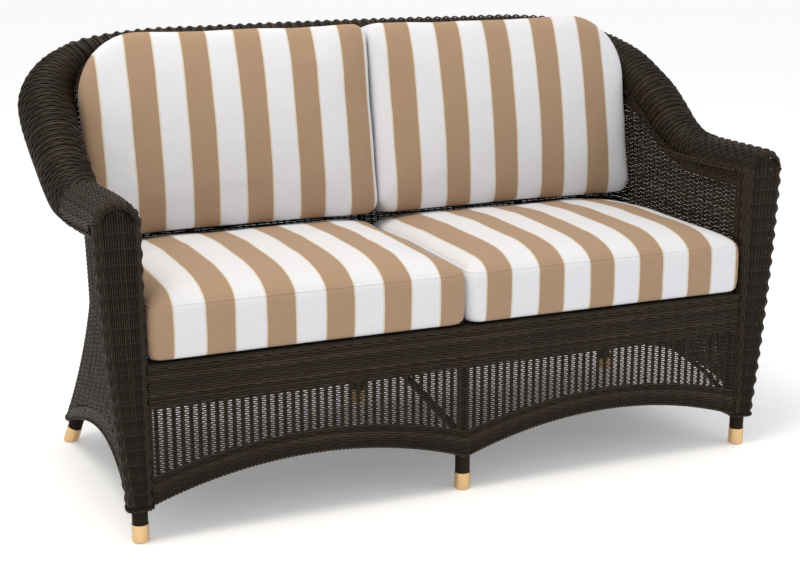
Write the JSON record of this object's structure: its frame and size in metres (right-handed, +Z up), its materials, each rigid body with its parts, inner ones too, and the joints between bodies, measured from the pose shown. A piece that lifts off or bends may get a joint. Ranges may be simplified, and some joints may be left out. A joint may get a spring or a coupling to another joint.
{
  "type": "patio loveseat",
  "caption": "Two-seat patio loveseat with rolled woven resin arms and back, arched woven aprons, brass-tipped legs and loose striped cushions.",
  "frame": {"origin": "on the floor under the middle of the overall box", "axes": "+X along the seat to the sitter's left, -Y towards the front, +Z up"},
  "size_m": [1.5122, 0.7244, 0.8895],
  "materials": {
    "resin_wicker": "dark brown woven resin strands with a slight satin",
    "frame_paint": "dark brown powder coat on aluminium tube",
    "brass_ferrule": "satin brass",
    "nylon_glide": "moulded",
    "webbing": "woven elastic strap",
    "striped_cover": "outdoor canvas with tan and white stripes",
    "foam": "open-cell foam"
  },
  "bodies": {
    "frame": {"front_upright_left": "frame_paint", "front_upright_right": "frame_paint", "rear_leg_left": "frame_paint", "rear_leg_right": "frame_paint", "front_centre_leg": "frame_paint", "rear_centre_leg": "frame_paint", "seat_rail_front": "frame_paint", "seat_rail_rear": "frame_paint", "seat_rail_left": "frame_paint", "seat_rail_right": "frame_paint", "seat_rail_middle": "frame_paint", "centre_stretcher": "frame_paint", "arm_and_back_tube": "frame_paint", "back_stays": "frame_paint", "front_arch_rods": "frame_paint", "side_arch_rods": "frame_paint", "rear_arch_rods": "frame_paint", "front_post_wicker_left": "resin_wicker", "front_post_wicker_right": "resin_wicker", "arm_roll_wicker_left": "resin_wicker", "arm_roll_wicker_right": "resin_wicker", "side_panel_wicker_left": "resin_wicker", "side_panel_wicker_right": "resin_wicker", "side_apron_wicker_left": "resin_wicker", "side_apron_wicker_right": "resin_wicker", "back_roll_wicker": "resin_wicker", "back_panel_wicker": "resin_wicker", "rear_apron_wicker": "resin_wicker", "front_band_wicker": "resin_wicker", "front_open_weave_wicker": "resin_wicker", "front_border_wicker": "resin_wicker", "leg_wrap_front_left": "resin_wicker", "leg_wrap_front_right": "resin_wicker", "leg_wrap_rear_left": "resin_wicker", "leg_wrap_rear_right": "resin_wicker", "leg_wrap_front_centre": "resin_wicker", "leg_wrap_rear_centre": "resin_wicker", "ferrule_front_left": "brass_ferrule", "ferrule_front_right": "brass_ferrule", "ferrule_rear_left": "brass_ferrule", "ferrule_rear_right": "brass_ferrule", "ferrule_front_centre": "brass_ferrule", "ferrule_rear_centre": "brass_ferrule", "floor_glides": "nylon_glide", "cross_webbing": "webbing", "long_webbing": "webbing"},
    "seat_cushion_left": {"seat_cushion_cover_left": "striped_cover", "seat_cushion_core_left": "foam"},
    "seat_cushion_right": {"seat_cushion_cover_right": "striped_cover", "seat_cushion_core_right": "foam"},
    "back_cushion_left": {"back_cushion_cover_left": "striped_cover", "back_cushion_core_left": "foam"},
    "back_cushion_right": {"back_cushion_cover_right": "striped_cover", "back_cushion_core_right": "foam"}
  },
  "joints": [
    {"name": "seat_cushion_left_pull_out", "type": "slide", "parent": "frame", "child": "seat_cushion_left", "axis": [0, -1, 0], "range_m": [0, 0.3]},
    {"name": "back_cushion_left_lift_off", "type": "slide", "parent": "frame", "child": "back_cushion_left", "axis": [0, -0.9824, 0.1867], "range_m": [0, 0.25]},
    {"name": "seat_cushion_right_pull_out", "type": "slide", "parent": "frame", "child": "seat_cushion_right", "axis": [0, -1, 0], "range_m": [0, 0.3]},
    {"name": "back_cushion_right_lift_off", "type": "slide", "parent": "frame", "child": "back_cushion_right", "axis": [0, -0.9824, 0.1867], "range_m": [0, 0.25]}
  ]
}
